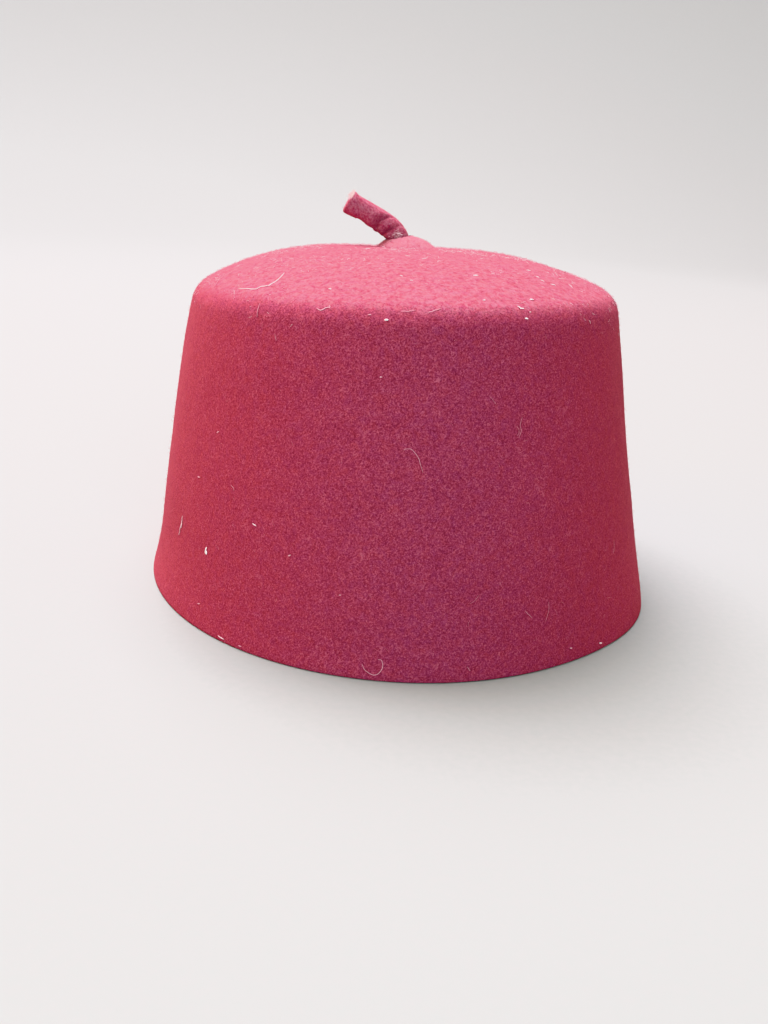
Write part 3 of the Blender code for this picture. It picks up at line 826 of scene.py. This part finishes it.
# Lint: loose pale threads and flecks that lie on the felt where the photo shows them
lintSizes = {
    "sides": 5,
    "steps": 5,
    "waviness": 0.00018,
    "waveStep": 0.45,  # how fast a thread sways, for each step along it
    "phases": 6,  # how far apart the sways of two threads can start
    "lift": 0.00005,
    "raised": 0.3,  # of its half width, above the felt
    "flatness": 0.4,
    "endWidth": 0.3,
    "seed": 7,
}
threadTable = (
    # pixels along the thread, half its width, how pale it is from 0 to 1
    (((238.5, 288.5), (247.2, 289.0), (256.2, 289.2), (261, 286.8), (267.7, 286.2), (272.5, 283.5),
      (277.3, 280.6), (281.1, 276.8), (284.5, 273)), 0.00018, 0.9),
    (((214.1, 286.8), (218, 281.6), (221.8, 277.3), (228.5, 274.4), (231.4, 272)), 0.00012, 0.35),
    (((237, 270), (243.8, 267.7)), 0.00011, 0.35),
    (((265.8, 270), (268.7, 268.2), (273.5, 267.7), (275.4, 265.3)), 0.00014, 0.4),
    (((260, 303.6), (258.2, 309.3), (257.2, 317)), 0.00014, 0.25),
    (((316.5, 308.4), (321.3, 310.3), (326, 307.9), (330, 307.4), (329, 305.5)), 0.00015, 0.5),
    (((401.2, 311.7), (408, 311.6), (415.5, 310.2)), 0.0001, 0.35),
    (((427.8, 312.6), (434, 311), (441, 308.7)), 0.00012, 0.35),
    (((517.3, 306.4), (520.4, 308.5), (524, 308.7)), 0.00016, 0.95),
    (((516, 302.6), (521, 303.4), (525.5, 301.5)), 0.00009, 0.4),
    (((182.8, 516), (182.2, 521), (181.2, 526), (179.2, 535)), 0.00024, 0.6),
    (((182.4, 523), (181.4, 528)), 0.00026, 0.7),
    (((403, 450), (411, 449), (418, 457), (420, 463), (423, 473)), 0.00009, 0.35),
    (((362, 664), (366, 671), (375, 675), (382, 669), (382, 661), (378, 659)), 0.0001, 0.5),
    (((525, 611), (528, 614), (532, 618)), 0.00009, 0.3),
    (((467, 666), (470, 671)), 0.00009, 0.3),
    (((548.4, 601.6), (548.6, 610), (545.3, 621.9)), 0.00008, 0.2),
    (((522, 417), (520, 425), (521, 431), (518.5, 438)), 0.0001, 0.2),
    (((516.5, 426), (519, 431), (517, 436)), 0.00009, 0.15),
    (((231, 485.5), (233.5, 487.5), (234, 490.5)), 0.00009, 0.3),
    (((613.4, 540), (613.9, 547), (612.9, 554)), 0.00009, 0.25),
    (((489, 396), (493.5, 401), (496.5, 405)), 0.00007, 0.15),
    (((470, 604), (476, 599), (479, 595)), 0.00007, 0.15),
    (((275, 334), (276.5, 341)), 0.00009, 0.25),
)
fleckTable = (
    # pixel, half its length and half its width in pixels, angle in degrees, how pale it is
    (205.9, 550.2, 3.3, 0.9, 104, 1.0),
    (206.6, 552.8, 1.8, 1.4, 95, 1.0),
    (254.4, 524.7, 2.3, 0.6, 32, 0.8),
    (289.5, 555.4, 1.4, 0.6, -20, 0.6),
    (198.8, 603.6, 1.2, 0.6, 0, 0.4),
    (199, 477, 1.3, 0.7, 20, 0.45),
    (218, 432, 1.3, 0.6, -30, 0.45),
    (241.6, 260.6, 1.6, 0.9, -20, 1.0),
    (330, 289.2, 1.5, 1.0, 10, 0.8),
    (386.4, 319.9, 2.0, 1.0, 0, 0.95),
    (369.6, 314.8, 1.8, 0.6, 0, 0.4),
    (381, 377, 1.2, 0.8, 0, 0.5),
    (401.2, 276, 1.6, 0.6, 20, 0.8),
    (411.4, 280.6, 1.4, 0.7, 0, 0.75),
    (475.9, 275.6, 2.8, 0.8, 0, 1.0),
    (484.2, 300.3, 1.4, 0.8, -10, 0.85),
    (531.6, 299.8, 2.1, 1.0, 5, 0.95),
    (528.6, 270.7, 2.6, 0.8, 12, 0.9),
    (537.8, 277.3, 2.0, 0.7, 30, 0.85),
    (542.3, 280.9, 2.0, 0.7, 25, 0.85),
    (553, 285, 2.8, 0.8, 15, 0.8),
    (570.4, 286, 2.6, 0.6, 40, 0.75),
    (530.1, 312.2, 0.9, 0.6, 0, 0.7),
    (526.5, 318.7, 1.7, 0.8, 10, 1.0),
    (340, 595, 1.1, 0.6, 0, 0.4),
    (367.5, 248.8, 3.0, 0.5, -8, 1.0),
    (394, 249.6, 3.4, 0.5, 4, 1.0),
    (408, 256.1, 3.2, 0.5, 10, 0.95),
    (424.7, 258.5, 3.2, 0.45, -10, 0.95),
    (453, 252.3, 2.4, 0.4, 5, 0.95),
    (472.2, 252.3, 2.6, 0.4, 5, 1.0),
    (221, 637.5, 3.6, 0.6, 32, 0.7),
    (240, 646, 1.6, 0.5, 20, 0.5),
    (600.5, 643, 1.4, 0.9, 0, 0.7),
    (394, 234.2, 1.6, 0.4, -12, 0.8),
    (398.5, 233.4, 1.8, 0.5, 8, 0.9),
    (401.5, 234.8, 1.2, 0.45, 15, 0.8),
    (389, 236.6, 1.2, 0.4, -30, 0.5),
    (571, 648, 1.2, 0.7, 0, 0.5),
)


def strandTube(bm, places, normals, halfWidth, paleness):
    # A tapered thread along smooth places, pressed onto the felt
    paleLayer = bm.verts.layers.float.get("strand") or bm.verts.layers.float.new("strand")
    sides, endWidth, last = lintSizes["sides"], lintSizes["endWidth"], len(places) - 1
    rings = []
    for index, (place, normal) in enumerate(zip(places, normals)):
        along = (places[min(index + 1, last)] - places[max(index - 1, 0)]).normalized()
        side = along.cross(normal).normalized()
        share = index / last
        half = halfWidth * (endWidth + (1 - endWidth) * math.sin(math.pi * share) ** 0.5)
        middle = place + normal * (lintSizes["raised"] * half + lintSizes["lift"])
        ring = []
        for corner in range(sides):
            turn = 2 * math.pi * corner / sides
            out = side * math.cos(turn) + normal * math.sin(turn) * lintSizes["flatness"]
            vertex = bm.verts.new(middle + out * half)
            vertex[paleLayer] = paleness
            ring.append(vertex)
        rings.append(ring)
    for near, far in zip(rings, rings[1:]):
        for corner in range(sides):
            after = (corner + 1) % sides
            bm.faces.new((near[corner], near[after], far[after], far[corner]))
    bm.faces.new(rings[0][::-1])
    bm.faces.new(rings[-1])


def curveThrough(corners, steps):
    # Smooth line through the corners
    line = []
    padded = [corners[0], *corners, corners[-1]]
    for before, start, end, after in zip(padded, padded[1:], padded[2:], padded[3:]):
        slope = end - before
        bend = 2 * before - 5 * start + 4 * end - after
        twist = 3 * start - before - 3 * end + after
        for step in range(steps):
            t = step / steps
            line.append(0.5 * (2 * start + slope * t + bend * t * t + twist * t ** 3))
    return line + [corners[-1]]


def layThread(bm, pixels, halfWidth, paleness, draw):
    line = curveThrough([Vector(pixel) for pixel in pixels], lintSizes["steps"])
    hits = [photoHit(feltTree, pixel) for pixel in line]
    hits = [(place, normal) for place, normal in hits if place is not None]
    if len(hits) < 2:
        return
    phase = draw.uniform(0, lintSizes["phases"])
    places = []
    for index, (place, normal) in enumerate(hits):
        sway = lintSizes["waviness"] * noise.noise(Vector((phase, index * lintSizes["waveStep"], 0)))
        places.append(place + normal * abs(sway) + Vector((0, 0, sway)))
    strandTube(bm, places, [normal for _, normal in hits], halfWidth, paleness)


def layFleck(bm, x, y, halfLength, halfWidth, angle, paleness):
    # A fleck is a short fat thread
    turn = math.radians(angle)
    step = Vector((math.cos(turn), math.sin(turn))) * halfLength
    middle = Vector((x, y))
    hits = [photoHit(feltTree, middle + step * share) for share in (-1, -0.5, 0, 0.5, 1)]
    if any(place is None for place, _ in hits):
        return
    places, normals = zip(*hits)
    pixelSize = (places[2] - Vector(cameraSizes["place"])).length * cameraSizes["longSide"] / (
        cameraSizes["focal"] * cameraSizes["imageHeight"])
    strandTube(bm, places, normals, halfWidth * pixelSize, paleness)


def addLint():
    draw = random.Random(lintSizes["seed"])
    bm = bmesh.new()
    for pixels, halfWidth, paleness in threadTable:
        layThread(bm, pixels, halfWidth, paleness, draw)
    for row in fleckTable:
        layFleck(bm, *row)
    bmesh.ops.recalc_face_normals(bm, faces=bm.faces)
    mesh = bpy.data.meshes.new("lint")
    bm.to_mesh(mesh)
    bm.free()
    mesh.shade_smooth()
    mesh.materials.append(paleWool)
    piece = bpy.data.objects.new("lint", mesh)
    scene.collection.objects.link(piece)
    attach(piece, "root")
    print("lint has", sum(len(face.vertices) - 2 for face in mesh.polygons), "triangles")


addLint()


# Round floor that curves up all round, world and lights
roomSizes = {
    "flatRadius": 1.5,
    "bendRadius": 1.5,
    "wallTop": 3.0,
    "sides": 96,
    "bendSteps": 24,
    "floorColour": (0.222, 0.244, 0.209),
    "floorSpeckle": (0.4, 0.36, 0.32),
    "speckleScale": 400.0,
    "speckle": (0.3, 0.7, 0.0, 0.06),  # noise from and to, share of the speckle at each of them
    "floorRoughness": 0.8,
    "worldColour": (1.0, 0.94, 0.85),
    "worldStrength": 0.05,
}
lightTable = (
    # name, place, aim, width, watts, colour
    ("back window", (-0.5, 0.9, 2.45), (0, 0, 0.1), 2.2, 285, (1.0, 0.87, 1.04)),
    ("front window", (0.05, -1.3, 0.5), (0, 0, 0.06), 0.9, 15, (0.82, 1.25, 1.45)),
    ("high left", (-0.7, -0.5, 0.95), (0, 0, 0.06), 0.7, 4.5, (1.0, 0.75, 0.5)),
    ("left bounce", (-1.2, 0.0, 0.35), (0, 0, 0.05), 0.8, 5.0, (1.0, 0.36, 0.18)),
    ("right bounce", (1.2, 0.1, 0.35), (0, 0, 0.05), 0.8, 4.4, (1.0, 0.36, 0.18)),
    ("backdrop wash", (0, 0.7, 2.3), (0, 2.6, 0.6), 1.6, 30, (1.0, 0.95, 0.96)),
)


def addFloor():
    flat, bend, sides = roomSizes["flatRadius"], roomSizes["bendRadius"], roomSizes["sides"]
    profile = [(flat, 0.0)]
    for step in range(1, roomSizes["bendSteps"] + 1):
        turn = math.pi / 2 * step / roomSizes["bendSteps"]
        profile.append((flat + bend * math.sin(turn), bend * (1 - math.cos(turn))))
    profile.append((flat + bend, roomSizes["wallTop"]))
    angles = [2 * math.pi * side / sides for side in range(sides)]
    bm = bmesh.new()
    middle = bm.verts.new((0, 0, 0))
    rings = [[bm.verts.new((radius * math.cos(turn), radius * math.sin(turn), z)) for turn in angles]
             for radius, z in profile]
    for side in range(sides):
        after = (side + 1) % sides
        bm.faces.new((middle, rings[0][side], rings[0][after]))
        for near, far in zip(rings, rings[1:]):
            bm.faces.new((near[side], far[side], far[after], near[after]))
    mesh = bpy.data.meshes.new("floor")
    bm.to_mesh(mesh)
    bm.free()
    mesh.shade_smooth()
    material = bpy.data.materials.new("floorPaper")
    material.use_nodes = True
    tree = material.node_tree
    place = addNode(tree, "ShaderNodeTexCoord").outputs["Object"]
    speckle = mapNode(tree, noiseNode(tree, place, roomSizes["speckleScale"], 3.0), *roomSizes["speckle"])
    colour = mixColours(tree, speckle, (*roomSizes["floorColour"], 1), (*roomSizes["floorSpeckle"], 1))
    surface = tree.nodes["Principled BSDF"]
    fillSocket(tree, surface.inputs["Base Color"], colour)
    surface.inputs["Roughness"].default_value = roomSizes["floorRoughness"]
    mesh.materials.append(material)
    floor = bpy.data.objects.new("floor", mesh)
    scene.collection.objects.link(floor)


def addLights():
    for name, place, aim, width, watts, colour in lightTable:
        lamp = bpy.data.lights.new(name, "AREA")
        lamp.shape = "SQUARE"
        lamp.size = width
        lamp.energy = watts
        lamp.color = colour
        light = bpy.data.objects.new(name, lamp)
        light.location = place
        light.rotation_euler = (Vector(aim) - Vector(place)).to_track_quat("-Z", "Y").to_euler()
        scene.collection.objects.link(light)


def setWorld():
    world = bpy.data.worlds.new("studio")
    world.use_nodes = True
    background = world.node_tree.nodes["Background"]
    background.inputs["Color"].default_value = (*roomSizes["worldColour"], 1)
    background.inputs["Strength"].default_value = roomSizes["worldStrength"]
    scene.world = world
    scene.view_settings.view_transform = "Khronos PBR Neutral"  # bright felt rolls off softly, as on film


addFloor()
addLights()
setWorld()
print("studio lit")
